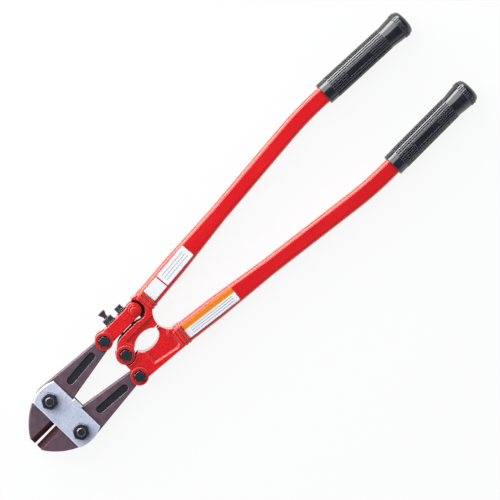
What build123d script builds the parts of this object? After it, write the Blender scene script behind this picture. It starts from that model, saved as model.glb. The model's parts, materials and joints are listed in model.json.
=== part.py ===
from build123d import *
import os
from math import acos, asin, atan2, cos, degrees, hypot, radians, sin, sqrt, tan

# Bolt cutters, millimetres, lying on their back with +Z up.
# X runs along the tool with the jaws at -X, Y runs across it with the adjusting arm at +Y.
# The origin is on the axis of the centre pivot, level with the bench.

os.makedirs("parts", exist_ok=True)

# Layers through the thickness
blade_thickness = 12.0
layer_gap = 0.2
plate_thickness = 4.5
cheek_thickness = 4.6
lug_thickness = 10.0
pivot_head_height = 4.7
boss_height = 1.2

# Fits, as clearance on the radius
running_fit = 0.05
seat_fit = 0.03
swing_gap = 0.6
cut_overrun = 2.0

# Places of the pivots
joint_reach = 94.3
joint_half_spacing = 24.2
link_reach = 6.0
link_half_spacing = 27.6
neck_reach = 63.6
neck_half_spacing = 28.3
neck_angle = 6.05
neck_skew = 1.45
neck_drop = 1.1
pin_setback = 22.3
pin_rise = 1.0

# Blades
jaw_length = 45.6
tip_width = 9.2
tip_gap = 2.9
heel_gap = 1.6
heel_setback = 1.3
jaw_bulge = 5.8
shoulder_rise = 16.4
shoulder_round = 20.0
tail_radius = 9.2
tail_meet_angle = 145.0
crotch_setback = 22.3
crotch_half_width = 7.2
bevel_width = 6.6
bevel_end_setback = 9.0
edge_land = 1.0
blade_chamfer = 0.8
tail_slot_play = 3.4
tail_slot_side_play = 1.1
recess_width = 8.8
recess_depth = 1.0
recess_front_setback = 31.3
recess_front_inset = 1.4
recess_rear_setback = 21.5
recess_rear_inset = 2.1

# Joint plates
plate_front = 14.7
plate_rear = 18.3
plate_side = 11.8
plate_bulge = 4.0
plate_tab_width = 13.0
plate_tab_depth = 2.2
plate_chamfer = 0.9

# Joint bolts and nuts
joint_bolt_diameter = 10.0
joint_hex = 17.0
joint_nut_height = 8.0
joint_bolt_proud = 2.0
bolt_end_chamfer = 1.0

# Pivot bolts and nuts
centre_bolt_diameter = 8.0
link_bolt_diameter = 8.0
pivot_hex = 11.0
hex_chamfer_angle = 30.0

# Handle heads
lobe_radius = 11.0
tongue_radius = 10.5
link_boss_radius = 10.0
centre_boss_radius = 10.4
boss_land = 3.3
head_edge_round = 0.9
outline_round = 1.2
arm_gap = 2.7
head_corner_x = 6.0
head_corner_round = 20.0
pin_seat_radius = 11.9
pin_seat_drop = 1.2
hook_angle = 62.0
hook_width = 2.6
front_edge_reach = 8.4
stop_tip_setback = 14.6
stop_gap = 2.8
stop_line = 2.4
stop_blend = 1.9
window_front_reach = 11.9
window_rear_setback = 19.2
window_drop = 5.2
window_half_width = 9.8
web_depth = 2.2
web_corner = 2.6
web_draft = 35.0
web_hub_radius = 12.8
rim_width = 6.4
web_front_reach = 15.0
web_front_lean = 3.5
web_rear_setback = 11.8
web_rear_cant = 5.5
web_shoulder = 6.4
front_rim_width = 7.0
rear_rim_width = 4.0
boss_tangent_angle = 50.0
lug_radius = 6.2

# Neck collars, and the tangs that carry the tubes
collar_length = 7.6
collar_width = 25.0
collar_corner = 5.0
collar_bead = 0.7
collar_bead_length = 2.2
collar_bead_inset = 0.6
collar_proud = 0.4
collar_root = 3.0
tang_length = 24.0

# Adjusting arm and its screws
arm_inner_inset = 7.6
arm_outer_rise = 8.6
arm_end_radius = 8.8
arm_slot_setback = 6.9
arm_edge_round = 1.2
arm_pin_diameter = 7.0
arm_pin_cap_diameter = 12.6
arm_pin_cap_height = 0.9
arm_pin_cap_round = 0.6
arm_pin_dome_diameter = 7.0
arm_pin_dome_height = 0.9
arm_pin_dome_round = 0.8
screw_setback = 27.6
screw_diameter = 6.0
screw_tip_diameter = 4.0
screw_tip_length = 2.0
screw_tip_gap = 0.1
screw_neck_diameter = 5.0
screw_cap_diameter = 9.0
screw_cap_taper = 4.0
screw_cap_rim = 2.0
screw_reach = 16.0
screw_socket_hex = 4.0
screw_socket_depth = 2.5
lock_nut_hex = 12.0
lock_nut_height = 6.0
lock_washer_diameter = 14.0
washer_thickness = 1.2
clamp_setback = 10.6
clamp_diameter = 5.0
clamp_hole_play = 0.4
clamp_seat_gap = 0.15
clamp_hex = 8.4
clamp_head_height = 5.0
clamp_engagement = 9.0
clamp_washer_diameter = 12.4
spring_washer_diameter = 9.2
spring_washer_thickness = 1.6
spring_washer_split = 0.9

# Tubes
tube_width = 25.0
tube_end_width = 20.0
tube_thickness = 18.0
tube_end_thickness = 16.0
tube_wall = 2.0
tube_corner = 4.6
wide_run = 45.0
taper_run = 73.0
front_run = 261.8
rear_angle = -1.34
bend_radius = 387.0

# Grips
grip_start = 33.0
grip_length = 122.0
grip_fit = 0.05
grip_floor = 7.0
grip_collar_diameter = 26.6
grip_collar_length = 11.7
grip_collar_round = 1.2
rib_root_diameter = 25.2
rib_count = 32
rib_height = 0.9
rib_width = 1.3
flare_diameter = 29.6
flare_length = 19.4
dome_length = 6.5
tooth_count = 40
tooth_height = 0.7
tooth_width = 1.2
tooth_length = 5.5
patch_length = 35.0
patch_ribs = 3
patch_start = 33.5

# Heights and places that follow from the driving dimensions
blade_half = blade_thickness / 2
fork_half = blade_half + layer_gap
head_half = fork_half + cheek_thickness
plate_outer = fork_half + plate_thickness
mid_z = head_half + pivot_head_height
joint_head_height = mid_z - plate_outer
link_y = link_half_spacing
pin_reach = neck_reach - pin_setback
pin_y = link_y + pin_rise
arm_inner_y = link_y - arm_inner_inset
arm_outer_y = link_y + arm_outer_rise
head_outer_y = arm_inner_y - arm_gap
stop_tip_reach = neck_reach - stop_tip_setback
left_stop_y = -stop_line + stop_gap / 2
right_stop_y = -stop_line - stop_gap / 2
window_rear_reach = neck_reach - window_rear_setback
window_half_length = (window_rear_reach - window_front_reach) / 2
window_reach = window_front_reach + window_half_length
lug_slot_half = lug_thickness / 2 + layer_gap
arm_slot_x = pin_reach - arm_slot_setback
seat_place = (pin_reach, pin_y - pin_seat_drop)
rear_run = grip_start + grip_length - grip_floor
bend_tangent = bend_radius * tan(radians(neck_angle - rear_angle) / 2)
mid_level = Plane.XY.offset(mid_z)
front_level = Plane.XY.offset(mid_z + head_half)
rear_level = Plane.XY.offset(mid_z - head_half)


def save(piece, label):
    piece.label = label
    export_step(piece, f"parts/{label}.step")


def polar_point(centre, radius, angle):
    return (centre[0] + radius * cos(radians(angle)), centre[1] + radius * sin(radians(angle)))


def bulged_middle(start, end, rise):
    """Middle point of an arc that rises to the left of the way from start to end."""
    dx, dy = end[0] - start[0], end[1] - start[1]
    chord = hypot(dx, dy)
    return ((start[0] + end[0]) / 2 - rise * dy / chord, (start[1] + end[1]) / 2 + rise * dx / chord)


def across(side, points):
    """The points on the +Y side for side 1, or mirrored to the -Y side for side -1."""
    return [(x, side * y) for x, y in points]


def cross_section(place, side, angle):
    """Plane across a handle that opens by an angle, both handles leaning alike by the skew."""
    bearing = radians(side * angle - neck_skew)
    along = (cos(bearing), sin(bearing), 0)
    sideways = (-sin(bearing), cos(bearing), 0)
    return Plane(origin=place, x_dir=sideways, z_dir=along)


def neck_plane(side):
    """Mouth of a collar, with Z along the tube and Y up."""
    return cross_section((neck_reach, side * neck_half_spacing - neck_drop, mid_z), side, neck_angle)


def rear_plane(side, distance):
    """Cross-section of the rear tube run, a distance past the corner of the bend, with Y up."""
    corner = neck_plane(side).offset(front_run).origin
    return cross_section(corner, side, rear_angle).offset(distance)


# Blades
def make_blade(label, side, has_slot):
    joint = (-joint_reach, joint_half_spacing)
    link = (-link_reach, link_y)
    tip_x = -joint_reach - jaw_length
    tip_inner = (tip_x, tip_gap / 2)
    tip_outer = (tip_x, tip_width)
    shoulder = (joint[0], joint[1] + shoulder_rise)
    tail_outer = polar_point(link, tail_radius, tail_meet_angle)
    crotch = (joint[0] + crotch_setback, crotch_half_width)
    heel = (joint[0] + heel_setback, heel_gap / 2)
    to_link = (link[0] - crotch[0], link[1] - crotch[1])
    tangent_angle = degrees(atan2(to_link[1], to_link[0]) - asin(tail_radius / hypot(*to_link)))
    tail_inner = polar_point(link, tail_radius, tangent_angle - 90)
    recess_front = (joint[0] + recess_front_setback, joint[1] - recess_front_inset)
    recess_rear = (link[0] - recess_rear_setback, link[1] - recess_rear_inset)
    edge_run = Vector(heel[0] - tip_x, side * (heel[1] - tip_inner[1]), 0).normalized()
    into_blade = Vector(-edge_run.Y, edge_run.X, 0) * side
    edge_plane = Plane((tip_x, side * tip_inner[1], mid_z), x_dir=into_blade, z_dir=edge_run)

    with BuildPart() as blade:
        with BuildSketch(mid_level) as profile:
            with BuildLine():
                Line(*across(side, [tip_inner, tip_outer]))
                middle = bulged_middle(tip_outer, shoulder, jaw_bulge)
                ThreePointArc(*across(side, [tip_outer, middle, shoulder]))
                Polyline(*across(side, [shoulder, tail_outer, link, tail_inner, crotch, heel, tip_inner]))
            make_face()
            with Locations(*across(side, [link])):
                Circle(tail_radius)
            shoulder_corner = across(side, [shoulder])[0]
            fillet(profile.vertices().sort_by_distance(shoulder_corner)[0], shoulder_round)
        extrude(amount=blade_half, both=True)
        flat_faces = blade.faces().filter_by(Axis.Z)
        chamfer(flat_faces.edges(), blade_chamfer)
        with BuildSketch(edge_plane):
            for face in (1, -1):
                with BuildLine():
                    Polyline(
                        (-bevel_width, face * edge_land / 2),
                        (0, face * edge_land / 2),
                        (bevel_width, face * blade_half),
                        (bevel_width, face * blade_thickness),
                        (-bevel_width, face * blade_thickness),
                        close=True,
                    )
                make_face()
        extrude(amount=jaw_length - bevel_end_setback, mode=Mode.SUBTRACT)
        recess = across(side, [recess_front, recess_rear])
        slope = degrees(atan2(recess[1][1] - recess[0][1], recess[1][0] - recess[0][0]))
        span = hypot(recess[1][1] - recess[0][1], recess[1][0] - recess[0][0])
        recess_centre = ((recess[0][0] + recess[1][0]) / 2, (recess[0][1] + recess[1][1]) / 2)
        for face in (1, -1):
            with BuildSketch(Plane.XY.offset(mid_z + face * blade_half)):
                with Locations(recess_centre):
                    SlotCenterToCenter(span, recess_width, rotation=slope)
            extrude(amount=-face * recess_depth, mode=Mode.SUBTRACT)
        with BuildSketch(mid_level):
            with Locations(*across(side, [joint])):
                Circle(joint_bolt_diameter / 2 + running_fit)
            with Locations(*across(side, [link])):
                if has_slot:
                    slot_width = link_bolt_diameter + 2 * tail_slot_side_play
                    SlotOverall(link_bolt_diameter + 2 * tail_slot_play, slot_width, rotation=90)
                else:
                    Circle(link_bolt_diameter / 2 + running_fit)
        extrude(amount=blade_half, both=True, mode=Mode.SUBTRACT)
    save(blade.part, label)


make_blade("left_blade", 1, has_slot=True)
make_blade("right_blade", -1, has_slot=False)


# Joint plates
def make_joint_plate(label, face):
    front_x = -joint_reach - plate_front
    rear_x = -joint_reach + plate_rear
    corner_y = joint_half_spacing + plate_side
    tab_y = plate_tab_width / 2
    with BuildPart() as plate:
        with BuildSketch(Plane.XY.offset(mid_z + face * fork_half)):
            with BuildLine():
                Line((front_x, -corner_y), (front_x, corner_y))
                for side in (1, -1):
                    ends = across(side, [(front_x, corner_y), (rear_x, corner_y)])
                    bulge = ((front_x + rear_x) / 2, side * (corner_y + plate_bulge))
                    ThreePointArc(ends[0], bulge, ends[1])
                    tab = [(rear_x, tab_y), (rear_x + plate_tab_depth, tab_y)]
                    Polyline(ends[1], *across(side, tab))
                tab_end = rear_x + plate_tab_depth
                Line((tab_end, tab_y), (tab_end, -tab_y))
            make_face()
            with Locations((-joint_reach, joint_half_spacing), (-joint_reach, -joint_half_spacing)):
                Circle(joint_bolt_diameter / 2 + seat_fit, mode=Mode.SUBTRACT)
        extrude(amount=face * plate_thickness)
        outer_face = plate.faces().sort_by(Axis.Z)[-1 if face > 0 else 0]
        chamfer(outer_face.outer_wire().edges(), plate_chamfer)
    save(plate.part, label)


make_joint_plate("front_joint_plate", 1)
make_joint_plate("rear_joint_plate", -1)


# Hexagon heads and nuts
def hex_prism(plane, across_flats, height):
    """Hexagon standing on a plane, with the corners of its far end turned off."""
    corner = across_flats / sqrt(3)
    cut_reach = corner + cut_overrun
    cut_drop = (cut_reach - across_flats / 2) * tan(radians(hex_chamfer_angle))
    with BuildSketch(plane) as hexagon:
        RegularPolygon(across_flats / 2, 6, major_radius=False)
    extrude(hexagon.sketch, amount=height)
    side_plane = Plane(plane.origin, x_dir=plane.x_dir, z_dir=-plane.y_dir)
    with BuildSketch(side_plane) as turning:
        with BuildLine():
            Polyline(
                (across_flats / 2, height),
                (cut_reach, height - cut_drop),
                (cut_reach, height + cut_overrun),
                (across_flats / 2, height + cut_overrun),
                close=True,
            )
        make_face()
    revolve(turning.sketch, axis=Axis(plane.origin, plane.z_dir), mode=Mode.SUBTRACT)


def make_joint_fasteners(name, side):
    place = (-joint_reach, side * joint_half_spacing)
    shank_top = mid_z + plate_outer + joint_nut_height + joint_bolt_proud
    with BuildPart() as bolt:
        hex_prism(Plane((*place, joint_head_height), z_dir=(0, 0, -1)), joint_hex, joint_head_height)
        with BuildSketch(Plane((*place, joint_head_height))):
            Circle(joint_bolt_diameter / 2)
        extrude(amount=shank_top - joint_head_height)
        chamfer(bolt.faces().sort_by(Axis.Z)[-1].edges(), bolt_end_chamfer)
    save(bolt.part, f"{name}_bolt")
    with BuildPart() as nut:
        hex_prism(Plane((*place, mid_z + plate_outer)), joint_hex, joint_nut_height)
        with Locations((*place, shank_top)):
            Hole(joint_bolt_diameter / 2 + seat_fit)
    save(nut.part, f"{name}_nut")


make_joint_fasteners("left_joint", 1)
make_joint_fasteners("right_joint", -1)


def make_pivot_fasteners(name, place, diameter):
    with BuildPart() as bolt:
        hex_prism(Plane((*place, mid_z + head_half)), pivot_hex, pivot_head_height)
        with BuildSketch(Plane((*place, 0))):
            Circle(diameter / 2)
        extrude(amount=mid_z + head_half)
    save(bolt.part, f"{name}_bolt")
    with BuildPart() as nut:
        hex_prism(Plane((*place, mid_z - head_half), z_dir=(0, 0, -1)), pivot_hex, pivot_head_height)
        with Locations((*place, mid_z)):
            Hole(diameter / 2 + seat_fit)
    save(nut.part, f"{name}_nut")


make_pivot_fasteners("centre_pivot", (0, 0), centre_bolt_diameter)
make_pivot_fasteners("arm_link", (-link_reach, link_y), link_bolt_diameter)
make_pivot_fasteners("right_link", (-link_reach, -link_y), link_bolt_diameter)


# Features that the castings share
def round_outline(part, radius):
    """Round the edges of the front and rear faces of a flat casting."""
    faces = part.faces().filter_by(Axis.Z)
    fillet(faces.edges(), radius)


def add_boss_rings(place, radius):
    """Raised ring round a pivot bolt, on the front and the rear cheek."""
    for level, direction in ((front_level, 1), (rear_level, -1)):
        with BuildSketch(level) as ring:
            with Locations(place):
                Circle(radius)
                Circle(radius - boss_land, mode=Mode.SUBTRACT)
        extrude(ring.sketch, amount=direction * boss_height)


def add_collar(side):
    """Neck collar with a bead at each end, and the tang inside the tube."""
    mouth = neck_plane(side)
    bore_inset = 2 * (tube_wall + seat_fit)
    collar_height = 2 * (head_half + collar_proud)
    bead_size = (collar_width + 2 * collar_bead, collar_height + 2 * collar_bead)
    with BuildSketch(mouth) as collar:
        RectangleRounded(collar_width, collar_height, collar_corner)
    extrude(collar.sketch, amount=-collar_length - collar_root)
    for start in (collar_bead_inset, collar_length - collar_bead_length - collar_bead_inset):
        with BuildSketch(mouth.offset(-start)) as bead:
            RectangleRounded(*bead_size, collar_corner + collar_bead)
        extrude(bead.sketch, amount=-collar_bead_length)
    with BuildSketch(mouth.offset(-collar_root)) as tang:
        tang_size = (tube_width - bore_inset, tube_thickness - bore_inset)
        RectangleRounded(*tang_size, tube_corner - bore_inset / 2)
    extrude(tang.sketch, amount=collar_root + tang_length)


def collar_corners(side):
    """Outer and inner corner of the collar's front end, seen from above."""
    mouth = neck_plane(side)
    back = mouth.origin - mouth.z_dir * collar_length
    half = mouth.x_dir * (collar_width / 2 - collar_bead)
    outer, inner = back + half * side, back - half * side
    return (outer.X, outer.Y), (inner.X, inner.Y)


def sink_webs(points):
    """Sunk panel with rounded corners on both faces of a casting, clear of the centre boss."""
    for level, direction in ((front_level, -1), (rear_level, 1)):
        with BuildSketch(level) as panel:
            with BuildLine():
                Polyline(*points, close=True)
            make_face()
            Circle(web_hub_radius, mode=Mode.SUBTRACT)
            fillet(panel.vertices(), web_corner)
        extrude(panel.sketch, amount=direction * web_depth, taper=web_draft, mode=Mode.SUBTRACT)


# Left handle head
pin_place = (pin_reach, pin_y)
outer_corner, inner_corner = collar_corners(1)
hook_tip = polar_point(seat_place, pin_seat_radius + hook_width, hook_angle)
stop_tip = (stop_tip_reach, left_stop_y)
head_corner = (head_corner_x, head_outer_y)
lobe_turn = atan2(head_outer_y, head_corner_x) + acos(lobe_radius / hypot(*head_corner))
lobe_side = polar_point((0, 0), lobe_radius, degrees(lobe_turn))

with BuildPart() as left_head:
    with BuildSketch(mid_level) as left_profile:
        with BuildLine():
            under_pin = (pin_reach, head_outer_y)
            FilletPolyline(lobe_side, head_corner, under_pin, radius=head_corner_round)
            Polyline(under_pin, seat_place, hook_tip, outer_corner, inner_corner)
            ThreePointArc(inner_corner, bulged_middle(inner_corner, stop_tip, -stop_blend), stop_tip)
            Polyline(stop_tip, (0, left_stop_y), lobe_side)
        make_face()
        Circle(lobe_radius)
        with Locations(seat_place):
            Circle(pin_seat_radius, mode=Mode.SUBTRACT)
        with Locations((window_reach, -window_drop)):
            Ellipse(window_half_length, window_half_width, rotation=180, mode=Mode.SUBTRACT)
        # The rounded corner's two ends and the lobe's tangent point are smooth already
        corners = left_profile.vertices().sort_by_distance(head_corner)[2:]
        fillet(corners.sort_by_distance(lobe_side)[1:], outline_round)
    extrude(amount=head_half, both=True)
    round_outline(left_head, head_edge_round)
    add_collar(1)
    add_boss_rings((0, 0), centre_boss_radius)
    rim_front = (0, head_outer_y - rim_width)
    rim_rear = (inner_corner[0], inner_corner[1] - rear_rim_width)
    sink_webs([rim_front, rim_rear, (inner_corner[0], -window_drop), (0, -window_drop)])
    with BuildSketch(mid_level):
        Circle(tongue_radius + swing_gap)
    extrude(amount=fork_half, both=True, mode=Mode.SUBTRACT)
    with BuildSketch(mid_level):
        with Locations(pin_place):
            Circle(lug_radius)
        with BuildLine():
            lug_reach = pin_seat_radius + hook_width / 2
            lug_arc = [polar_point(seat_place, lug_reach, angle) for angle in (-90, 0, hook_angle)]
            ThreePointArc(*lug_arc)
            Polyline(lug_arc[0], pin_place, lug_arc[2])
        make_face()
    extrude(amount=lug_thickness / 2, both=True)
    with BuildSketch(mid_level):
        Circle(centre_bolt_diameter / 2 + seat_fit)
        with Locations(pin_place):
            Circle(arm_pin_diameter / 2 + running_fit)
    extrude(amount=mid_z, both=True, mode=Mode.SUBTRACT)
    with BuildSketch(Plane((pin_reach - clamp_setback, head_outer_y, mid_z), z_dir=(0, -1, 0))):
        Circle(clamp_diameter / 2 + running_fit)
    extrude(amount=clamp_engagement + arm_gap, mode=Mode.SUBTRACT)
save(left_head.part, "left_handle_head")


# Right handle head
link_place = (-link_reach, -link_y)
outer_corner, inner_corner = collar_corners(-1)
stop_tip = (stop_tip_reach, right_stop_y)
boss_side = polar_point(link_place, link_boss_radius, -boss_tangent_angle)
outer_slope = (outer_corner[1] - boss_side[1]) / (outer_corner[0] - boss_side[0])
web_front_y = boss_side[1] + outer_slope * (web_front_reach - boss_side[0]) + front_rim_width
web_rear_y = outer_corner[1] + rear_rim_width
web_rear_reach = neck_reach - web_rear_setback
fork_line = -link_y + tail_radius + 2 * swing_gap
fork_cut = (link_boss_radius + cut_overrun, fork_line + link_y + link_boss_radius + cut_overrun)

with BuildPart() as right_head:
    with BuildSketch(mid_level) as right_profile:
        with BuildLine():
            front_edge = [(-front_edge_reach, -lobe_radius / 2), (-front_edge_reach, -link_y)]
            Polyline(*front_edge, link_place, boss_side, outer_corner, inner_corner)
            ThreePointArc(inner_corner, bulged_middle(inner_corner, stop_tip, stop_blend), stop_tip)
            Polyline(stop_tip, (window_reach, right_stop_y), (0, -window_half_width), front_edge[0])
        make_face()
        with Locations(link_place):
            Circle(link_boss_radius)
        with Locations((window_reach, -window_drop)):
            Ellipse(window_half_length, window_half_width, rotation=180, mode=Mode.SUBTRACT)
        Circle(lobe_radius + swing_gap, mode=Mode.SUBTRACT)
        fillet(right_profile.vertices(), outline_round)
    extrude(amount=head_half, both=True)
    round_outline(right_head, head_edge_round)
    add_collar(-1)
    add_boss_rings(link_place, link_boss_radius)
    sink_webs([
        (web_front_reach + web_front_lean, -window_drop),
        (web_front_reach, web_front_y),
        (web_rear_reach - web_rear_cant, web_rear_y),
        (web_rear_reach, web_rear_y + web_rear_cant / 2),
        (web_rear_reach, neck_plane(-1).origin.Y + web_shoulder),
        (stop_tip_reach, inner_corner[1]),
        (inner_corner[0], inner_corner[1] + web_shoulder),
        (inner_corner[0], right_stop_y),
    ])
    with BuildSketch(mid_level):
        Circle(tongue_radius)
        with Locations((0, -tongue_radius)):
            Rectangle(2 * front_edge_reach, 2 * (lobe_radius - tongue_radius + swing_gap) + tongue_radius)
    extrude(amount=blade_half, both=True)
    with BuildSketch(mid_level):
        with Locations(link_place):
            Circle(tail_radius + swing_gap)
        with Locations((-link_reach, fork_line)):
            Rectangle(*fork_cut, align=(Align.MAX, Align.MAX))
    extrude(amount=fork_half, both=True, mode=Mode.SUBTRACT)
    with BuildSketch(mid_level):
        Circle(centre_bolt_diameter / 2 + running_fit)
        with Locations(link_place):
            Circle(link_bolt_diameter / 2 + seat_fit)
    extrude(amount=mid_z, both=True, mode=Mode.SUBTRACT)
save(right_head.part, "right_handle_head")


# Adjusting arm
arm_link_place = (-link_reach, link_y)
arm_thickness_y = arm_outer_y - arm_inner_y
arm_fork_radius = tail_radius + tail_slot_play
boss_clear = link_boss_radius + cut_overrun
end_clear = arm_end_radius + cut_overrun
screw_x = pin_reach - screw_setback
clamp_x = pin_reach - clamp_setback

with BuildPart() as arm:
    with BuildSketch(mid_level):
        with Locations((-link_reach, arm_inner_y)):
            Rectangle(link_reach + pin_reach, arm_thickness_y, align=Align.MIN)
        with Locations(arm_link_place):
            Circle(link_boss_radius)
        with Locations(pin_place):
            Circle(arm_end_radius)
    extrude(amount=head_half, both=True)
    round_outline(arm, arm_edge_round)
    add_boss_rings(arm_link_place, link_boss_radius)
    with BuildSketch(mid_level):
        with Locations(arm_link_place):
            Circle(arm_fork_radius)
            Rectangle(boss_clear, 2 * boss_clear, align=(Align.MAX, Align.CENTER))
    extrude(amount=fork_half, both=True, mode=Mode.SUBTRACT)
    with BuildSketch(mid_level):
        with Locations((arm_slot_x, pin_y)):
            Rectangle(arm_slot_setback + end_clear, 2 * end_clear, align=(Align.MIN, Align.CENTER))
    extrude(amount=lug_slot_half, both=True, mode=Mode.SUBTRACT)
    with BuildSketch(mid_level):
        with Locations(arm_link_place):
            Circle(link_bolt_diameter / 2 + seat_fit)
        with Locations(pin_place):
            Circle(arm_pin_diameter / 2 + seat_fit)
    extrude(amount=mid_z, both=True, mode=Mode.SUBTRACT)
    with BuildSketch(Plane((screw_x, arm_outer_y, mid_z), z_dir=(0, -1, 0))):
        Circle(screw_diameter / 2 + running_fit)
    extrude(amount=arm_thickness_y, mode=Mode.SUBTRACT)
    with BuildSketch(Plane((clamp_x, arm_outer_y, mid_z), z_dir=(0, -1, 0))):
        Circle(clamp_diameter / 2 + clamp_hole_play)
    extrude(amount=arm_thickness_y, mode=Mode.SUBTRACT)
save(arm.part, "adjusting_arm")

with BuildPart() as arm_pin:
    with BuildSketch(Plane((*pin_place, mid_z))):
        Circle(arm_pin_diameter / 2)
    extrude(amount=head_half, both=True)
    steps = (
        (arm_pin_cap_diameter, arm_pin_cap_height, arm_pin_cap_round),
        (arm_pin_dome_diameter, arm_pin_cap_height + arm_pin_dome_height, arm_pin_dome_round),
    )
    for level, direction, end in ((front_level, 1, -1), (rear_level, -1, 0)):
        for diameter, height, rounding in steps:
            with BuildSketch(level):
                with Locations(pin_place):
                    Circle(diameter / 2)
            extrude(amount=direction * height)
            fillet(arm_pin.faces().sort_by(Axis.Z)[end].edges(), rounding)
save(arm_pin.part, "arm_pin")


# Adjusting screw, turned about its own axis
screw_axis = Axis((screw_x, 0, mid_z), (0, 1, 0))
screw_end_y = arm_outer_y + screw_reach
nut_seat_y = arm_outer_y + washer_thickness
nut_top_y = nut_seat_y + lock_nut_height

with BuildPart() as screw:
    with BuildSketch(Plane((screw_x, 0, mid_z), x_dir=(1, 0, 0), z_dir=(0, 0, 1))):
        tip_y = head_outer_y + screw_tip_gap
        with BuildLine():
            Polyline(
                (0, tip_y),
                (screw_tip_diameter / 2, tip_y),
                (screw_tip_diameter / 2, tip_y + screw_tip_length),
                (screw_diameter / 2, tip_y + screw_tip_length),
                (screw_diameter / 2, nut_top_y),
                (screw_neck_diameter / 2, nut_top_y),
                (screw_neck_diameter / 2, screw_end_y - screw_cap_rim - screw_cap_taper),
                (screw_cap_diameter / 2, screw_end_y - screw_cap_rim),
                (screw_cap_diameter / 2, screw_end_y),
                (0, screw_end_y),
                close=True,
            )
        make_face()
    revolve(axis=screw_axis)
    with BuildSketch(Plane((screw_x, screw_end_y, mid_z), z_dir=(0, -1, 0))):
        RegularPolygon(screw_socket_hex / 2, 6, major_radius=False)
    extrude(amount=screw_socket_depth, mode=Mode.SUBTRACT)
save(screw.part, "adjusting_screw")


# Washers and nuts on the arm's outer edge
def make_washer(label, x, seat_y, diameter, thickness, bore, split=0.0):
    with BuildPart() as washer:
        with BuildSketch(Plane((x, seat_y, mid_z), z_dir=(0, 1, 0))):
            Circle(diameter / 2)
            Circle(bore / 2, mode=Mode.SUBTRACT)
            if split:
                Rectangle(diameter, split, align=(Align.MIN, Align.CENTER), mode=Mode.SUBTRACT)
        extrude(amount=thickness)
    save(washer.part, label)


screw_bore = screw_diameter + 2 * running_fit
make_washer("lock_nut_washer", screw_x, arm_outer_y, lock_washer_diameter, washer_thickness, screw_bore)

with BuildPart() as lock_nut:
    hex_prism(Plane((screw_x, nut_seat_y, mid_z), z_dir=(0, 1, 0)), lock_nut_hex, lock_nut_height)
    with BuildSketch(Plane((screw_x, nut_seat_y, mid_z), z_dir=(0, 1, 0))):
        Circle(screw_bore / 2)
    extrude(amount=lock_nut_height, mode=Mode.SUBTRACT)
save(lock_nut.part, "adjusting_lock_nut")

clamp_bore = clamp_diameter + 2 * seat_fit
clamp_seat_y = arm_outer_y + clamp_seat_gap
spring_seat_y = clamp_seat_y + washer_thickness
clamp_head_y = spring_seat_y + spring_washer_thickness
make_washer("clamp_flat_washer", clamp_x, clamp_seat_y, clamp_washer_diameter, washer_thickness, clamp_bore)
make_washer(
    "clamp_spring_washer", clamp_x, spring_seat_y, spring_washer_diameter, spring_washer_thickness,
    clamp_bore, spring_washer_split,
)

with BuildPart() as clamp_screw:
    hex_prism(Plane((clamp_x, clamp_head_y, mid_z), z_dir=(0, 1, 0)), clamp_hex, clamp_head_height)
    with BuildSketch(Plane((clamp_x, clamp_head_y, mid_z), z_dir=(0, -1, 0))):
        Circle(clamp_diameter / 2)
    extrude(amount=clamp_head_y - head_outer_y + clamp_engagement)
save(clamp_screw.part, "clamp_screw")


# Tubes
def make_tube(label, side):
    mouth = neck_plane(side)
    bend_start = mouth.offset(front_run - bend_tangent)
    bend_end = rear_plane(side, bend_tangent).origin
    tube_end = rear_plane(side, rear_run).origin
    with BuildPart() as tube:
        with BuildLine() as rear_path:
            TangentArc(bend_start.origin, bend_end, tangent=bend_start.z_dir)
            Line(bend_end, tube_end)
        for inset, mode in ((0, Mode.ADD), (tube_wall, Mode.SUBTRACT)):
            wide_size = (tube_width - 2 * inset, tube_thickness - 2 * inset)
            end_size = (tube_end_width - 2 * inset, tube_end_thickness - 2 * inset)
            sections = []
            for plane, size in (
                (mouth, wide_size),
                (mouth.offset(wide_run), wide_size),
                (mouth.offset(wide_run + taper_run), end_size),
                (bend_start, end_size),
            ):
                with BuildSketch(plane) as section:
                    RectangleRounded(*size, tube_corner - inset)
                sections.append(section.sketch)
            loft(sections=sections, ruled=True, mode=mode)
            sweep(sections=sections[-1], path=rear_path.line, mode=mode)
    save(tube.part, label)


make_tube("left_tube", 1)
make_tube("right_tube", -1)


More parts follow.
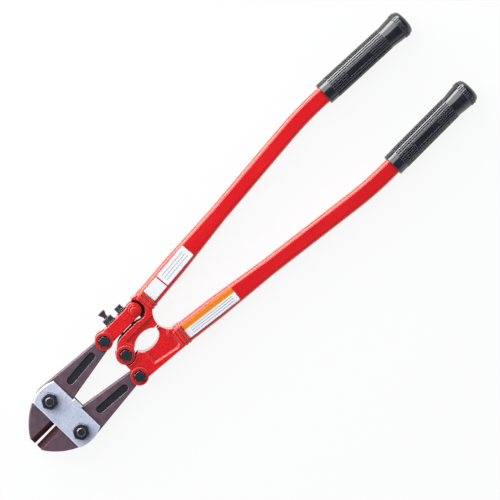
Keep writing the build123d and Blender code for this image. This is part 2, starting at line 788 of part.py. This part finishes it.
# Grips
def make_grip(label, side):
    mouth = rear_plane(side, grip_start)
    collar = grip_collar_diameter / 2
    root = rib_root_diameter / 2
    rib_start = grip_collar_length
    tooth_start = grip_length - dome_length - tooth_length
    rib_end = tooth_start - flare_length
    rib_pitch = 360 / rib_count
    flare = flare_diameter / 2
    cavity_depth = rear_run - grip_start + grip_fit
    profile_plane = Plane(mouth.origin, x_dir=mouth.z_dir, z_dir=-mouth.x_dir)
    grip_axis = Axis(mouth.origin, mouth.z_dir)
    with BuildPart() as grip:
        with BuildSketch(profile_plane):
            with BuildLine():
                Polyline((rib_start, root), (rib_start, 0), (grip_length, 0))
                crown = (grip_length, 0)
                dome_start = (tooth_start + tooth_length, flare)
                Spline(dome_start, crown, tangents=((1, 0), (0, -1)))
                Line(dome_start, (tooth_start, flare))
                flare_start = (rib_end, collar)
                Spline(flare_start, (tooth_start, flare), tangents=((1, 0), (1, 0)))
                Polyline(flare_start, (rib_end, root), (rib_start, root))
            make_face()
        revolve(axis=grip_axis)
        with BuildSketch(mouth):
            Circle(collar)
        extrude(amount=rib_start)
        fillet(grip.faces().sort_by(grip_axis)[0].edges(), grip_collar_round)
        with BuildSketch(mouth.offset(rib_start)):
            plain_ribs = rib_count - patch_ribs
            plain_arc = rib_pitch * (plain_ribs - 1)
            with PolarLocations(root, plain_ribs, 270 - plain_arc / 2, plain_arc, endpoint=True):
                Rectangle(2 * rib_height, rib_width)
        extrude(amount=rib_end - rib_start)
        for start, end in ((rib_start, patch_start), (patch_start + patch_length, rib_end)):
            with BuildSketch(mouth.offset(start)):
                patch_arc = rib_pitch * (patch_ribs - 1)
                with PolarLocations(root, patch_ribs, 90 - patch_arc / 2, patch_arc, endpoint=True):
                    Rectangle(2 * rib_height, rib_width)
            extrude(amount=end - start)
        with BuildSketch(mouth.offset(tooth_start)):
            with PolarLocations(flare, tooth_count):
                Rectangle(2 * tooth_height, tooth_width)
        extrude(amount=tooth_length)
        with BuildSketch(mouth):
            cavity = (tube_end_width + 2 * grip_fit, tube_end_thickness + 2 * grip_fit)
            RectangleRounded(*cavity, tube_corner + grip_fit)
        extrude(amount=cavity_depth, mode=Mode.SUBTRACT)
    save(grip.part, label)


make_grip("left_grip", 1)
make_grip("right_grip", -1)
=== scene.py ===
import json
from math import cos, radians, sin, sqrt

import bmesh
import bpy
from mathutils import Matrix, Vector
from mathutils.bvhtree import BVHTree


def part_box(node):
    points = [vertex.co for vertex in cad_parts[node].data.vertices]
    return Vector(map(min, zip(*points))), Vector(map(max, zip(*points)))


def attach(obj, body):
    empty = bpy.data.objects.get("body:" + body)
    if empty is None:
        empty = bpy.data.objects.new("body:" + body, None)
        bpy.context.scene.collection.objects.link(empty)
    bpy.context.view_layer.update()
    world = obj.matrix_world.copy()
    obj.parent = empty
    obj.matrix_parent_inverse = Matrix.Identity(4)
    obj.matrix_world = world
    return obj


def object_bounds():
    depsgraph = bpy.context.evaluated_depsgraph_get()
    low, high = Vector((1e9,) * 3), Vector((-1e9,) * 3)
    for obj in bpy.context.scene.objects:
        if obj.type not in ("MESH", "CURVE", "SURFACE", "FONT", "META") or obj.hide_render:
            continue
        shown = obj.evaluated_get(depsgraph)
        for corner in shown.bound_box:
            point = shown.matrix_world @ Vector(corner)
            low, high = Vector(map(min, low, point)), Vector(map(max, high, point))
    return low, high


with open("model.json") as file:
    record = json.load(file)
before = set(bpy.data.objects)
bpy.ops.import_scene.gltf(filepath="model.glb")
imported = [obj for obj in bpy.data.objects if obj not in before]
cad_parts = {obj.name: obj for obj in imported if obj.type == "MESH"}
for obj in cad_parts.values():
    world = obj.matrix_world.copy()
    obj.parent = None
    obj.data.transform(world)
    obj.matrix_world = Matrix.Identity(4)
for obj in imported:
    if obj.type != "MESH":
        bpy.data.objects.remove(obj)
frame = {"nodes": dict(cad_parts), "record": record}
cad_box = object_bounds()
nodes = frame["nodes"]
MM = 0.001
UP = Vector((0, 0, 1))

# Camera
VIEW_TILT = radians(7)
VIEW_DISTANCE = 2.6
VIEW_CENTRE = Vector((178.6, -15.1, 31.0)) * MM
VIEW_WIDTH = 550 * MM
SENSOR = 36.0

# Floor
FLOOR_HALF = 8.0
FLOOR_DROP = 0.2 * MM
FLOOR_GRAIN = 3 * MM
FLOOR_TONES = ((0.902, 0.902, 0.907, 1), (0.93, 0.93, 0.935, 1))
FLOOR_ROUGHNESS = 0.9
FLOOR_WHITE = 0.9

# Sky, which fades from horizon to zenith between two heights on a unit sphere
SKY_HORIZON = (0.76, 0.78, 0.82, 1)
SKY_ZENITH = (0.14, 0.15, 0.175, 1)
SKY_FADE = (0.05, 0.8)

# Softboxes
SIDE_PLACE = Vector((0.18, 1.25, 0.34))
SIDE_TARGET = Vector((0.18, 0, 0.34))
SIDE_SIZE = (2.4, 0.64)
SIDE_POWER = 32
SIDE_TINT = (1.0, 0.975, 0.93)
TOP_PLACE = Vector((-0.2, 1.65, 2.05))
TOP_SIZE = (3.2, 2.2)
TOP_POWER = 57
TOP_TINT = (0.95, 0.98, 1.0)

# Stickers on the tubes, placed from the mouths of the heads' collars
NECK_X = 63.6 * MM
NECK_Y = 28.3 * MM
NECK_ANGLE = radians(6.05)
NECK_SKEW = radians(1.45)
NECK_DROP = 1.1 * MM
LABEL_START = 0.5 * MM
LEFT_LABEL = (66.5 * MM, 16.4 * MM)
RIGHT_LABEL = (70.0 * MM, 17.2 * MM)
LABEL_THICKNESS = 0.12 * MM
LABEL_CORNER = 0.9 * MM
LABEL_STEPS = (90, 24)

# Print on the stickers, in shares of their length and width
PRINT_BLUR = 0.004
LINE_WIDTH = 0.045
LINE_BLUR = 0.012
LINE_STRENGTH = 0.8
OWNER_LINES = (0.28, 0.50, 0.72)
OWNER_LINE_SPAN = (0.40, 0.93)
OWNER_BAR = (0.315, 0.34)
BANDED_LINES = (0.16, 0.32, 0.48)
BANDED_LINE_SPAN = (0.10, 0.93)
BAND_SPAN = (0.64, 1.2)
BAND_BLUR = 0.008

# Sunk panels and ground cutting faces of the blades, each limit with a soft border
RECESS_DEPTH = (0.3 * MM, 0.6 * MM)
FLAT_FACING = (0.9, 0.97)
GROUND_HALF_WIDTH = (9.0 * MM, 9.5 * MM)
GROUND_LENGTH = (15 * MM, 16 * MM)

# Screws, nuts and washers of the adjusting arm, whose edges get a wider, stronger painted highlight
SET_SCREWS = (
    "adjusting_screw", "adjusting_lock_nut", "lock_nut_washer",
    "clamp_screw", "clamp_spring_washer", "clamp_flat_washer",
)

# Values between which a noise mostly lies, an edge fades in, and a corner's shade fades in
NOISE_SPAN = (0.3, 0.7)
EDGE_SPAN = (0.995, 0.90)
SHADE_SPAN = (1.0, 0.35)
SHADER_SAMPLES = 6

# Red enamel
CREAM = (1.0, 0.78, 0.48, 1)
CAST_REDS = ((0.73, 0.002, 0.010, 1), (0.86, 0.004, 0.014, 1))
CAST_PEAK = (0.88, 0.030, 0.038, 1)
CAST_PIT = (0.46, 0.0, 0.005, 1)
# Painted shade in the castings' corners and creases
CAST_PAINTED_SHADE = (0.17, 0.0, 0.003, 1)
# Near-black painted shade inside narrow gaps
CAST_GAP_PAINTED_SHADE = (0.012, 0.0, 0.001, 1)
# Cream painted highlight along the castings' edges
CAST_PAINTED_HIGHLIGHT = (0.93, 0.26, 0.20, 1)
TUBE_REDS = ((0.78, 0.001, 0.010, 1), (0.86, 0.003, 0.013, 1))
# Painted shade in the tubes' corners
TUBE_PAINTED_SHADE = (0.25, 0.0, 0.004, 1)

# Steel
OXIDE_BROWNS = ((0.132, 0.080, 0.112, 1), (0.192, 0.120, 0.160, 1))
OXIDE_SPECK = (0.17, 0.12, 0.13, 1)
OXIDE_RECESS = (0.030, 0.030, 0.042, 1)
# Painted shade in the blades' corners
OXIDE_PAINTED_SHADE = (0.012, 0.009, 0.011, 1)
# Pale painted highlight along the blades' edges
OXIDE_PAINTED_HIGHLIGHT = (0.42, 0.36, 0.40, 1)
# Redder tone of the ground faces, painted lighter on the left blade to stand in for light it lacks and
# darker on the right blade, which the side light reaches
LEFT_GROUND_PAINTED_LIGHTER = (0.15, 0.046, 0.065, 1)
RIGHT_GROUND_PAINTED_DARKER = (0.030, 0.008, 0.010, 1)
PLATE_GREYS = ((0.68, 0.73, 0.92, 1), (0.80, 0.85, 1.0, 1))
PLATE_SPECK = (0.36, 0.38, 0.50, 1)
# Painted shade in the plates' corners
PLATE_PAINTED_SHADE = (0.10, 0.10, 0.13, 1)
# White painted highlight along the plates' edges
PLATE_PAINTED_HIGHLIGHT = (0.97, 0.98, 1.0, 1)
BLACK_STEELS = ((0.020, 0.023, 0.032, 1), (0.042, 0.047, 0.060, 1))
# Painted shade in the corners of the black steel
BLACK_PAINTED_SHADE = (0.002, 0.002, 0.003, 1)
# Grey painted highlight along the black steel's edges
BLACK_PAINTED_HIGHLIGHT = (0.42, 0.43, 0.48, 1)

# Rubber and vinyl
RUBBER_BLACKS = ((0.005, 0.005, 0.010, 1), (0.011, 0.011, 0.019, 1))
# Pale painted highlight along the rubber's rib edges
RUBBER_PAINTED_HIGHLIGHT = (0.34, 0.33, 0.40, 1)
# Black painted shade in the rubber's grooves
RUBBER_GROOVE_PAINTED_SHADE = (0.001, 0.001, 0.002, 1)
VINYL_WHITES = ((0.86, 0.87, 0.90, 1), (0.93, 0.93, 0.95, 1))
LINE_GREY = (0.24, 0.25, 0.30, 1)
BAR_RED = (0.62, 0.02, 0.05, 1)
BAND_ORANGE = (0.87, 0.25, 0.015, 1)
WHITE = (1, 1, 1, 1)


class Graph:
    """Node tree of a new material, with short calls to add and link nodes."""

    def __init__(self, name):
        self.material = bpy.data.materials.new(name)
        self.material.use_nodes = True
        self.tree = self.material.node_tree
        self.surface = self.tree.nodes["Principled BSDF"]
        self.place = self.add("ShaderNodeTexCoord").outputs["Object"]

    def add(self, kind, **settings):
        node = self.tree.nodes.new(kind)
        for name, value in settings.items():
            setattr(node, name, value)
        return node

    def link(self, source, target):
        self.tree.links.new(source, target)

    def feed(self, socket, value):
        """Link a socket to another one, or set its value."""
        if isinstance(value, bpy.types.NodeSocket):
            self.link(value, socket)
        else:
            socket.default_value = value

    def stretch(self, scale):
        """Place on the object, scaled along its axes."""
        node = self.add("ShaderNodeMapping")
        self.link(self.place, node.inputs["Vector"])
        node.inputs["Scale"].default_value = scale
        return node.outputs["Vector"]

    def noise(self, size, detail=3.0, rough=0.55, source=None):
        """Noise whose blotches are about size metres across."""
        node = self.add("ShaderNodeTexNoise")
        self.link(source or self.place, node.inputs["Vector"])
        node.inputs["Scale"].default_value = 1 / size
        node.inputs["Detail"].default_value = detail
        node.inputs["Roughness"].default_value = rough
        return node.outputs["Fac"]

    def ramp(self, source, low, high, start=0.0, end=1.0):
        """Map source from low..high to start..end, held inside those ends."""
        node = self.add("ShaderNodeMapRange", clamp=True, interpolation_type="SMOOTHSTEP")
        self.feed(node.inputs["Value"], source)
        node.inputs["From Min"].default_value = low
        node.inputs["From Max"].default_value = high
        node.inputs["To Min"].default_value = start
        node.inputs["To Max"].default_value = end
        return node.outputs["Result"]

    def spread(self, noise, start, end):
        """Map the values of a noise to start..end."""
        return self.ramp(noise, *NOISE_SPAN, start, end)

    def math(self, operation, first, second=0.0):
        node = self.add("ShaderNodeMath", operation=operation)
        self.feed(node.inputs[0], first)
        self.feed(node.inputs[1], second)
        return node.outputs["Value"]

    def mix(self, factor, first, second):
        node = self.add("ShaderNodeMix", data_type="RGBA")
        self.feed(node.inputs["Factor"], factor)
        self.feed(node.inputs["A"], first)
        self.feed(node.inputs["B"], second)
        return node.outputs["Result"]

    def mottle(self, noise, tones):
        """Colour that goes from one tone to the other with a noise."""
        return self.mix(self.spread(noise, 0, 1), *tones)

    def tint(self, colour, mask, tone, strength=1.0):
        """Colour drawn towards a tone where the mask is 1."""
        return self.mix(self.math("MULTIPLY", mask, strength), colour, tone)

    def axis(self, name, source=None):
        """One coordinate of a vector, by default of the place on the object."""
        node = self.add("ShaderNodeSeparateXYZ")
        self.link(source or self.place, node.inputs["Vector"])
        return node.outputs[name]

    def facing(self):
        """1 on faces that look straight up or down, 0 on upright ones."""
        normal = self.add("ShaderNodeNewGeometry").outputs["Normal"]
        return self.math("ABSOLUTE", self.axis("Z", normal))

    def rounded(self, radius):
        """Normal that runs smoothly over sharp edges, so that they catch the light."""
        bevel = self.add("ShaderNodeBevel", samples=SHADER_SAMPLES)
        bevel.inputs["Radius"].default_value = radius
        return bevel.outputs["Normal"]

    def edges(self, radius):
        """1 along sharp edges within a radius, 0 on flat and gently curved faces."""
        flat = self.add("ShaderNodeNewGeometry").outputs["Normal"]
        dot = self.add("ShaderNodeVectorMath", operation="DOT_PRODUCT")
        self.link(self.rounded(radius), dot.inputs[0])
        self.link(flat, dot.inputs[1])
        return self.ramp(dot.outputs["Value"], *EDGE_SPAN)

    def hollows(self, distance):
        """1 in corners and grooves, 0 in the open."""
        node = self.add("ShaderNodeAmbientOcclusion", samples=SHADER_SAMPLES)
        node.inputs["Distance"].default_value = distance
        return self.ramp(node.outputs["AO"], *SHADE_SPAN)

    def bump(self, height, distance, strength, below=None):
        """Normal of a relief, on top of the relief below."""
        node = self.add("ShaderNodeBump")
        node.inputs["Strength"].default_value = strength
        node.inputs["Distance"].default_value = distance
        self.link(height, node.inputs["Height"])
        if below:
            self.link(below, node.inputs["Normal"])
        return node.outputs["Normal"]

    def gloss(self, level, tint=WHITE):
        """Strength and tint of the base's own reflections."""
        self.surface.inputs["Specular IOR Level"].default_value = level
        self.surface.inputs["Specular Tint"].default_value = tint

    def lacquer(self, roughness, ior):
        """Clear glossy layer over the base."""
        self.surface.inputs["Coat Weight"].default_value = 1.0
        self.surface.inputs["Coat Roughness"].default_value = roughness
        self.surface.inputs["Coat IOR"].default_value = ior

    def finish(self, **sockets):
        """Material with the surface's sockets fed, _ standing for a space in their names."""
        for name, value in sockets.items():
            self.feed(self.surface.inputs[name.replace("_", " ")], value)
        return self.material


def cast_enamel():
    """Glossy red enamel over a sand-cast surface, matt inside narrow gaps, with painted shade in its
    corners and gaps and a cream painted highlight along its edges.
    """
    g = Graph("cast_enamel")
    grit = g.noise(2 * MM, detail=4, rough=0.62)
    # Mask of narrow gaps, which carries painted shade and makes them matt
    gap_shade_mask = g.ramp(g.hollows(8 * MM), 0.5, 0.95)
    colour = g.mottle(g.noise(7 * MM), CAST_REDS)
    colour = g.tint(colour, g.ramp(grit, 0.52, 0.70), CAST_PEAK, 0.6)
    colour = g.tint(colour, g.ramp(grit, 0.48, 0.32), CAST_PIT, 0.5)
    # Painted shade in corners and creases
    colour = g.tint(colour, g.hollows(4 * MM), CAST_PAINTED_SHADE, 0.9)
    # Painted shade inside narrow gaps
    colour = g.tint(colour, gap_shade_mask, CAST_GAP_PAINTED_SHADE, 0.9)
    # Painted highlight along edges
    colour = g.tint(colour, g.edges(0.9 * MM), CAST_PAINTED_HIGHLIGHT, 0.75)
    rough = g.math("MAXIMUM", g.spread(grit, 0.24, 0.42), gap_shade_mask)
    normal = g.bump(grit, 0.3 * MM, 0.9, g.rounded(1.2 * MM))
    normal = g.bump(g.noise(4 * MM, detail=2), 0.3 * MM, 0.5, normal)
    g.gloss(0.5, CREAM)
    g.lacquer(roughness=0.08, ior=1.5)
    coat = g.math("SUBTRACT", 1.0, gap_shade_mask)
    return g.finish(Base_Color=colour, Roughness=rough, Normal=normal, Coat_Weight=coat)


def tube_enamel():
    """Smooth glossy red enamel, drawn out a little along the tube, with painted shade in its corners."""
    g = Graph("tube_enamel")
    along = g.noise(9 * MM, source=g.stretch((0.12, 1, 1)))
    colour = g.mottle(along, TUBE_REDS)
    # Painted shade in corners
    colour = g.tint(colour, g.hollows(3 * MM), TUBE_PAINTED_SHADE, 0.5)
    rough = g.spread(along, 0.13, 0.24)
    normal = g.bump(g.noise(1.8 * MM, detail=2, rough=0.5), 0.03 * MM, 0.2)
    g.gloss(0.9, CREAM)
    g.lacquer(roughness=0.11, ior=1.5)
    return g.finish(Base_Color=colour, Roughness=rough, Normal=normal)


def oxide_steel(name, ground_tone_with_painted_light):
    """Dark forged steel, with painted shade in its corners, a painted highlight along its edges, and the
    ground faces of the jaw in a redder tone that is painted lighter or darker for how the light falls on
    each blade.
    """
    g = Graph(name)
    grain = g.noise(1.1 * MM, detail=4, rough=0.65)
    brushed = g.noise(0.9 * MM, source=g.stretch((0.07, 1, 1)))
    ground = ground_zone(g)
    colour = g.mottle(g.noise(11 * MM, detail=4), OXIDE_BROWNS)
    colour = g.tint(colour, g.ramp(grain, 0.35, 0.75), OXIDE_SPECK, 0.6)
    # Ground faces' redder tone, with painted light that differs between the blades
    colour = g.tint(colour, ground, ground_tone_with_painted_light, 0.95)
    colour = g.tint(colour, recess_zone(g), OXIDE_RECESS)
    # Painted shade in corners
    colour = g.tint(colour, g.hollows(3 * MM), OXIDE_PAINTED_SHADE, 0.7)
    # Painted highlight along edges
    colour = g.tint(colour, g.edges(0.6 * MM), OXIDE_PAINTED_HIGHLIGHT, 0.6)
    rough = g.spread(brushed, 0.40, 0.58)
    metal = g.ramp(ground, 0, 1, 0.45, 0.9)
    normal = g.bump(grain, 0.1 * MM, 0.6, g.rounded(0.5 * MM))
    normal = g.bump(brushed, 0.04 * MM, 0.5, normal)
    g.gloss(0.3)
    return g.finish(Base_Color=colour, Metallic=metal, Roughness=rough, Normal=normal)


def recess_zone(g):
    """1 on the flat floors of the sunk panels in the blades."""
    low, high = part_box("left_blade")
    middle = (low.z + high.z) / 2
    half = (high.z - low.z) / 2
    height = g.math("ABSOLUTE", g.math("SUBTRACT", g.axis("Z"), middle))
    shallow, deep = RECESS_DEPTH
    sunk = g.ramp(height, half - shallow, half - deep)
    return g.math("MULTIPLY", sunk, g.ramp(g.facing(), *FLAT_FACING))


def ground_zone(g):
    """1 on the slanted cutting faces of the jaws, which reach back under the joint plate."""
    plate_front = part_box("front_joint_plate")[0].x
    slanted, flat = FLAT_FACING
    slant = g.ramp(g.facing(), flat, slanted)
    inside, outside = GROUND_HALF_WIDTH
    near = g.ramp(g.math("ABSOLUTE", g.axis("Y")), outside, inside)
    full, end = GROUND_LENGTH
    front = g.ramp(g.axis("X"), plate_front + end, plate_front + full)
    return g.math("MULTIPLY", g.math("MULTIPLY", slant, near), front)


def plated_steel():
    """Satin plated steel with fine specks, with painted shade in its corners and a white painted highlight
    along its edges.
    """
    g = Graph("plated_steel")
    grain = g.noise(1.6 * MM, detail=5, rough=0.7)
    lines = g.noise(0.5 * MM, source=g.stretch((1, 0.06, 1)))
    colour = g.mottle(g.noise(8 * MM, detail=4), PLATE_GREYS)
    colour = g.tint(colour, g.ramp(grain, 0.45, 0.8), PLATE_SPECK, 0.7)
    # Painted shade in corners
    colour = g.tint(colour, g.hollows(1.5 * MM), PLATE_PAINTED_SHADE, 0.4)
    # Painted highlight along edges
    colour = g.tint(colour, g.edges(1.3 * MM), PLATE_PAINTED_HIGHLIGHT)
    rough = g.spread(lines, 0.30, 0.46)
    normal = g.bump(grain, 0.06 * MM, 0.5)
    normal = g.bump(lines, 0.02 * MM, 0.4, normal)
    return g.finish(Base_Color=colour, Metallic=0.3, Roughness=rough, Normal=normal)


def black_oxide(name, highlight_width, highlight_strength):
    """Blackened steel, with painted shade in its corners and a grey painted highlight along its edges."""
    g = Graph(name)
    grain = g.noise(0.6 * MM, rough=0.6)
    colour = g.mottle(g.noise(4 * MM, detail=4), BLACK_STEELS)
    # Painted shade in corners
    colour = g.tint(colour, g.hollows(2 * MM), BLACK_PAINTED_SHADE)
    # Painted highlight along edges
    colour = g.tint(colour, g.edges(highlight_width), BLACK_PAINTED_HIGHLIGHT, highlight_strength)
    rough = g.spread(grain, 0.22, 0.36)
    normal = g.bump(grain, 0.04 * MM, 0.5, g.rounded(0.4 * MM))
    g.lacquer(roughness=0.14, ior=1.6)
    return g.finish(Base_Color=colour, Metallic=0.5, Roughness=rough, Normal=normal)


def grip_rubber():
    """Shiny moulded rubber, matt in its grooves, with a pale painted highlight along its ribs and black
    painted shade in its grooves.
    """
    g = Graph("grip_rubber")
    # Mask of the grooves, which carries painted shade and makes them matt
    groove_shade_mask = g.hollows(2.2 * MM)
    colour = g.mottle(g.noise(14 * MM), RUBBER_BLACKS)
    # Painted highlight along the ribs
    colour = g.tint(colour, g.edges(0.6 * MM), RUBBER_PAINTED_HIGHLIGHT, 0.9)
    # Painted shade in the grooves
    colour = g.tint(colour, groove_shade_mask, RUBBER_GROOVE_PAINTED_SHADE)
    rough = g.ramp(groove_shade_mask, 0, 1, 0.26, 0.7)
    normal = g.bump(g.noise(0.5 * MM, rough=0.6), 0.03 * MM, 0.5, g.rounded(0.55 * MM))
    g.gloss(0)
    g.lacquer(roughness=0.13, ior=1.85)
    coat = g.ramp(groove_shade_mask, 0.1, 0.6, 1, 0)
    return g.finish(Base_Color=colour, Roughness=rough, Normal=normal, Coat_Weight=coat)


def label_vinyl(name, decorate):
    """White vinyl, with its print from decorate(graph, along, across, colour)."""
    g = Graph(name)
    sheet = g.add("ShaderNodeUVMap").outputs["UV"]
    colour = g.mix(g.noise(6 * MM, detail=2), *VINYL_WHITES)
    colour = decorate(g, g.axis("X", sheet), g.axis("Y", sheet), colour)
    rough = g.spread(g.noise(1.5 * MM), 0.22, 0.34)
    normal = g.bump(g.noise(0.7 * MM, detail=2), 0.01 * MM, 0.4)
    g.gloss(0.2)
    return g.finish(Base_Color=colour, Roughness=rough, Normal=normal)


def band(g, position, low, high, blur=PRINT_BLUR):
    """1 where position lies between low and high."""
    rise = g.ramp(position, low - blur, low + blur)
    fall = g.ramp(position, high - blur, high + blur, 1, 0)
    return g.math("MULTIPLY", rise, fall)


def rule_lines(g, along, across, colour, starts, span):
    """Thin grey writing lines."""
    for start in starts:
        stripe = band(g, across, start, start + LINE_WIDTH, LINE_BLUR)
        line = g.math("MULTIPLY", stripe, band(g, along, *span))
        colour = g.tint(colour, line, LINE_GREY, LINE_STRENGTH)
    return colour


def owner_label(g, along, across, colour):
    """Writing lines, and a red bar that parts them from a bare field."""
    colour = rule_lines(g, along, across, colour, OWNER_LINES, OWNER_LINE_SPAN)
    return g.tint(colour, band(g, along, *OWNER_BAR), BAR_RED)


def banded_label(g, along, across, colour):
    """Writing lines below an orange band."""
    colour = rule_lines(g, along, across, colour, BANDED_LINES, BANDED_LINE_SPAN)
    return g.tint(colour, band(g, across, *BAND_SPAN, BAND_BLUR), BAND_ORANGE)


def corner_inset(end_gap):
    """How far a round corner draws a sticker's long edge in, at a distance from its end."""
    reach = max(0.0, LABEL_CORNER - end_gap)
    return LABEL_CORNER - sqrt(max(0.0, LABEL_CORNER**2 - reach**2))


def label_mesh(tube, side, size):
    """Grid of points laid on a tube from above, with the print's coordinates."""
    surface = BVHTree.FromPolygons([v.co for v in tube.vertices], [p.vertices for p in tube.polygons])
    bearing = side * NECK_ANGLE - NECK_SKEW
    along = Vector((cos(bearing), sin(bearing), 0))
    across = Vector((-along.y, along.x, 0))
    start = Vector((NECK_X, side * NECK_Y - NECK_DROP, 0)) + along * LABEL_START
    length, width = size
    rows, columns = LABEL_STEPS
    mesh = bmesh.new()
    uv_layer = mesh.loops.layers.uv.new("UVMap")
    grid = []
    for i in range(rows + 1):
        u = i / rows
        half = width / 2 - corner_inset(min(u, 1 - u) * length)
        row = []
        for j in range(columns + 1):
            offset = (2 * j / columns - 1) * half
            above = start + along * (u * length) + across * offset + UP
            hit, normal, _, _ = surface.ray_cast(above, -UP)
            row.append((mesh.verts.new(hit + normal * LABEL_THICKNESS), (u, 0.5 + offset / width)))
        grid.append(row)
    for i in range(rows):
        for j in range(columns):
            corners = (grid[i][j], grid[i + 1][j], grid[i + 1][j + 1], grid[i][j + 1])
            face = mesh.faces.new([point for point, _ in corners])
            face.smooth = True
            for loop, (_, uv) in zip(face.loops, corners):
                loop[uv_layer].uv = uv
    return mesh


def make_label(name, side, size, material):
    """Sticker that lies on the front of a tube and follows its rounded edges."""
    tube = nodes["left_tube" if side > 0 else "right_tube"]
    mesh = label_mesh(tube.data, side, size)
    data = bpy.data.meshes.new(name)
    mesh.to_mesh(data)
    mesh.free()
    data.materials.append(material)
    label = bpy.data.objects.new(name, data)
    bpy.context.scene.collection.objects.link(label)
    backing = label.modifiers.new("thickness", "SOLIDIFY")
    backing.thickness = LABEL_THICKNESS
    backing.offset = -1
    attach(label, "left_handle" if side > 0 else "right_handle")


def paint_nodes():
    """Give each CAD node its own finish, or else that of its material slot."""
    finishes = {
        "red_casting": cast_enamel(),
        "red_tube": tube_enamel(),
        "plate_steel": plated_steel(),
        "black_steel": black_oxide("black_oxide", highlight_width=0.5 * MM, highlight_strength=0.8),
        "black_rubber": grip_rubber(),
        # Lit and shaded copies of the blade steel, whose ground faces are painted lighter on the left and
        # darker on the right
        "left_blade": oxide_steel("left_oxide_steel_painted_lighter", LEFT_GROUND_PAINTED_LIGHTER),
        "right_blade": oxide_steel("right_oxide_steel_painted_darker", RIGHT_GROUND_PAINTED_DARKER),
    }
    # Wider, stronger painted highlight along the edges of the set screws
    strongly_highlit_oxide = black_oxide("black_oxide_strong_painted_highlight", highlight_width=0.7 * MM, highlight_strength=0.9)
    finishes.update({name: strongly_highlit_oxide for name in SET_SCREWS})
    for piece in frame["record"]["subparts"]:
        data = nodes[piece["node"]].data
        data.materials.clear()
        data.materials.append(finishes.get(piece["node"]) or finishes[piece["material_slot"]])


def make_floor():
    """Wide pale floor just below the tool."""
    level = cad_box[0][2] - FLOOR_DROP
    signs = ((-1, -1), (1, -1), (1, 1), (-1, 1))
    corners = [(x * FLOOR_HALF, y * FLOOR_HALF, level) for x, y in signs]
    data = bpy.data.meshes.new("floor")
    data.from_pydata(corners, [], [(0, 1, 2, 3)])
    floor = bpy.data.objects.new("floor", data)
    bpy.context.scene.collection.objects.link(floor)
    g = Graph("floor_paper")
    g.gloss(0)
    colour = g.mix(g.noise(FLOOR_GRAIN, detail=2), *FLOOR_TONES)
    data.materials.append(g.finish(Base_Color=colour, Roughness=FLOOR_ROUGHNESS))
    whiten_floor(g)


def whiten_floor(g):
    """Show the floor whiter than its light makes it, to the camera and in reflections, with its shadow."""
    path = g.add("ShaderNodeLightPath")
    seen = g.math("MAXIMUM", path.outputs["Is Camera Ray"], path.outputs["Is Glossy Ray"])
    seen = g.math("MAXIMUM", seen, path.outputs["Is Transmission Ray"])
    glow = g.add("ShaderNodeEmission")
    glow.inputs["Strength"].default_value = 1.0
    blend = g.add("ShaderNodeMixShader")
    g.link(g.math("MULTIPLY", seen, FLOOR_WHITE), blend.inputs["Fac"])
    g.link(g.surface.outputs["BSDF"], blend.inputs[1])
    g.link(glow.outputs["Emission"], blend.inputs[2])
    g.link(blend.outputs["Shader"], g.tree.nodes["Material Output"].inputs["Surface"])


def make_sky():
    """World that is pale at the horizon and darker overhead."""
    world = bpy.data.worlds.new("studio")
    bpy.context.scene.world = world
    world.use_nodes = True
    tree = world.node_tree
    place = tree.nodes.new("ShaderNodeTexCoord")
    split = tree.nodes.new("ShaderNodeSeparateXYZ")
    height = tree.nodes.new("ShaderNodeMapRange")
    height.interpolation_type = "SMOOTHSTEP"
    height.inputs["From Min"].default_value, height.inputs["From Max"].default_value = SKY_FADE
    blend = tree.nodes.new("ShaderNodeMix")
    blend.data_type = "RGBA"
    blend.inputs["A"].default_value = SKY_HORIZON
    blend.inputs["B"].default_value = SKY_ZENITH
    tree.links.new(place.outputs["Generated"], split.inputs["Vector"])
    tree.links.new(split.outputs["Z"], height.inputs["Value"])
    tree.links.new(height.outputs["Result"], blend.inputs["Factor"])
    tree.links.new(blend.outputs["Result"], tree.nodes["Background"].inputs["Color"])


def add_softbox(name, place, target, size, power, tint):
    light = bpy.data.lights.new(name, "AREA")
    light.shape = "RECTANGLE"
    light.size, light.size_y = size
    light.energy = power
    light.color = tint
    lamp = bpy.data.objects.new(name, light)
    bpy.context.scene.collection.objects.link(lamp)
    lamp.location = place
    lamp.rotation_euler = (target - place).to_track_quat("-Z", "Y").to_euler()


def add_camera():
    """Camera above the tool, leaning to the arm's side, with the jaws at the lower left."""
    back = Vector((0, sin(VIEW_TILT), cos(VIEW_TILT)))
    diagonal = Vector((1, 1, 0)).normalized()
    up = (diagonal - back * diagonal.dot(back)).normalized()
    right = up.cross(back)
    data = bpy.data.cameras.new("camera")
    data.sensor_width = SENSOR
    data.lens = SENSOR * VIEW_DISTANCE / VIEW_WIDTH
    camera = bpy.data.objects.new("camera", data)
    bpy.context.scene.collection.objects.link(camera)
    turn = Matrix((right, up, back)).transposed()
    camera.matrix_world = Matrix.Translation(VIEW_CENTRE + back * VIEW_DISTANCE) @ turn.to_4x4()
    bpy.context.scene.camera = camera


paint_nodes()
make_label("left_tube_label", 1, LEFT_LABEL, label_vinyl("owner_label", owner_label))
make_label("right_tube_label", -1, RIGHT_LABEL, label_vinyl("banded_label", banded_label))
make_floor()
make_sky()
add_softbox("side_softbox", SIDE_PLACE, SIDE_TARGET, SIDE_SIZE, SIDE_POWER, SIDE_TINT)
add_softbox("top_softbox", TOP_PLACE, VIEW_CENTRE, TOP_SIZE, TOP_POWER, TOP_TINT)
add_camera()
bpy.context.scene.view_settings.view_transform = "Standard"
